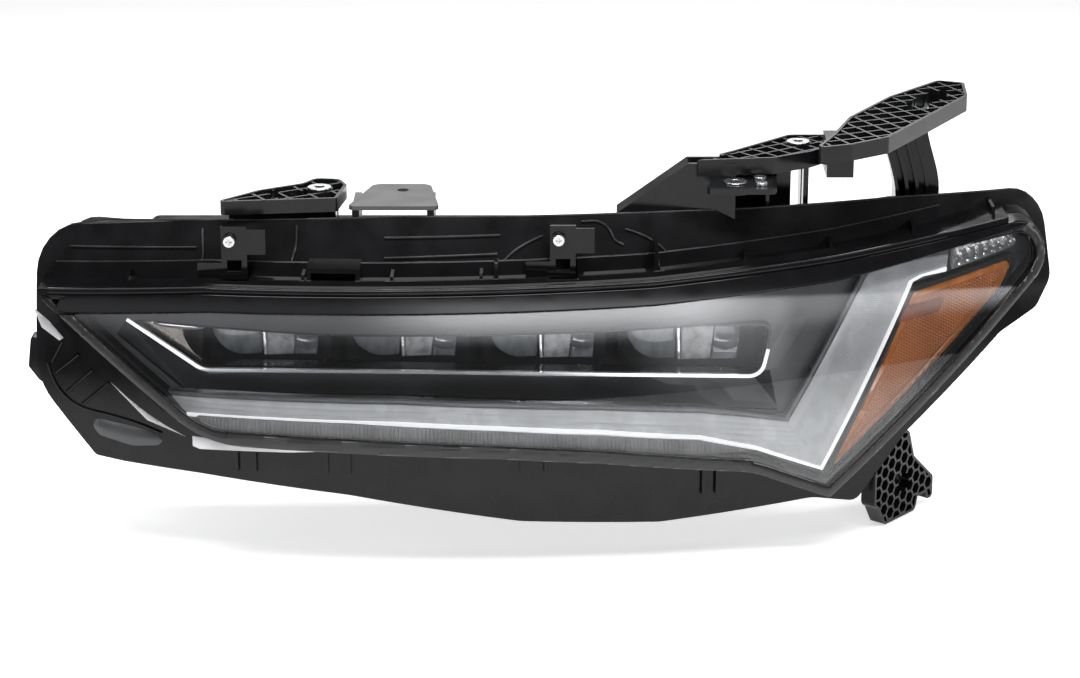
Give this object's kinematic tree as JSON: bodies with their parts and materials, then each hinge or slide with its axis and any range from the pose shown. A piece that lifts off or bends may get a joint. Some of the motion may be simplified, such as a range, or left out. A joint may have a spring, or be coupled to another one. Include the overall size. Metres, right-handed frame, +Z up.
{
  "type": "car headlight assembly",
  "caption": "Long swept front lamp: clear wrap-round lens over lit units on a tilting carrier, fluted running-light band, amber side reflex, ribbed mounting brackets.",
  "frame": {"origin": "centre of the upper inner mounting bush, at the middle bracket's top face", "axes": "+X outboard along the lamp, +Y rearward into the car, +Z up along the mounting bush"},
  "size_m": [0.7464, 0.2644, 0.3025],
  "materials": {
    "housing_plastic": "satin",
    "cowl_gloss": "gloss",
    "rim_gloss": "gloss",
    "lens_clear": "clear",
    "seal_rubber": "matte",
    "seal_orange": "matte",
    "bezel_grey": "satin",
    "ramp_dark": "satin",
    "shroud_dark": "satin",
    "smoky_chrome": "polished",
    "bright_chrome": "polished",
    "light_guide": "fluted",
    "signature_white": "gloss",
    "tray_silver": "satin",
    "turn_smoke": "ribbed",
    "amber_reflex": "prismatic",
    "circuit_board": "satin",
    "led_yellow": "satin",
    "screw_steel": "zinc plated",
    "nylon_cream": "satin",
    "cast_aluminium": "cast",
    "connector_black": "matte",
    "pin_brass": "plated",
    "bracket_black": "satin",
    "tab_grey": "satin",
    "carrier_grey": "satin",
    "projector_glass": "clear"
  },
  "bodies": {
    "lamp_body": {"housing": "housing_plastic", "outer_lens": "lens_clear", "lens_frame": "rim_gloss", "lens_seal": "seal_rubber", "top_cowl": "cowl_gloss", "bumper_clips": "cowl_gloss", "clip_screws": "screw_steel", "bezel": "bezel_grey", "lower_bezel": "ramp_dark", "projector_shroud": "shroud_dark", "trough_reflector": "smoky_chrome", "chrome_strip": "bright_chrome", "drl_light_guide": "light_guide", "drl_reflector": "tray_silver", "signature_line": "signature_white", "turn_lens": "turn_smoke", "turn_reflector": "tray_silver", "corner_reflector": "bright_chrome", "side_marker_reflex": "amber_reflex", "side_marker_tray": "shroud_dark", "signal_boards": "circuit_board", "signal_leds": "led_yellow", "pivot_studs": "screw_steel", "aim_bushing": "nylon_cream", "rear_cover": "housing_plastic", "rear_cover_seal": "seal_orange", "rear_cover_screws": "screw_steel", "led_driver": "cast_aluminium", "driver_screws": "screw_steel", "main_connector": "connector_black", "connector_pins": "pin_brass", "vent_caps": "seal_rubber", "belly_vent": "nylon_cream", "upper_inner_bracket": "bracket_black", "upper_inner_bush": "screw_steel", "top_tab": "tab_grey", "upper_outer_bracket": "bracket_black", "upper_outer_bushes": "screw_steel", "lower_outer_bracket": "bracket_black", "inner_hook_bracket": "bracket_black", "bracket_screws": "screw_steel"},
    "projector_carrier": {"carrier_frame": "carrier_grey", "projector_lens_1": "projector_glass", "projector_lens_2": "projector_glass", "projector_lens_3": "projector_glass", "projector_lens_4": "projector_glass", "block_lens_1": "projector_glass", "block_lens_2": "projector_glass", "block_lens_3": "projector_glass", "block_lens_4": "projector_glass", "heat_sink_1": "cast_aluminium", "heat_sink_2": "cast_aluminium", "heat_sink_3": "cast_aluminium", "heat_sink_4": "cast_aluminium", "projector_boards": "circuit_board", "carrier_screws": "screw_steel", "pivot_sockets": "nylon_cream"},
    "aim_screw_body": {"aim_screw": "screw_steel"},
    "aim_nut_body": {"aim_nut": "nylon_cream"}
  },
  "joints": [
    {"name": "carrier_tilt", "type": "hinge", "parent": "lamp_body", "child": "projector_carrier", "pos_m": [0.112, 0.011, -0.056], "axis": [1, 0, 0], "range_deg": [-2.5, 2.5]},
    {"name": "aim_nut_slide", "type": "slide", "parent": "lamp_body", "child": "aim_nut_body", "axis": [0, 1, 0], "range_m": [-0.00385, 0.00385]},
    {"name": "aim_screw_turn", "type": "hinge", "parent": "lamp_body", "child": "aim_screw_body", "pos_m": [0.277, 0.053, -0.144], "axis": [0, 1, 0], "range_deg": [-930, 930]}
  ],
  "couplings": [
    {"joint": "aim_nut_slide", "follows": "carrier_tilt", "m_per_rad": 0.088},
    {"joint": "aim_screw_turn", "follows": "carrier_tilt", "ratio": -368.61}
  ]
}
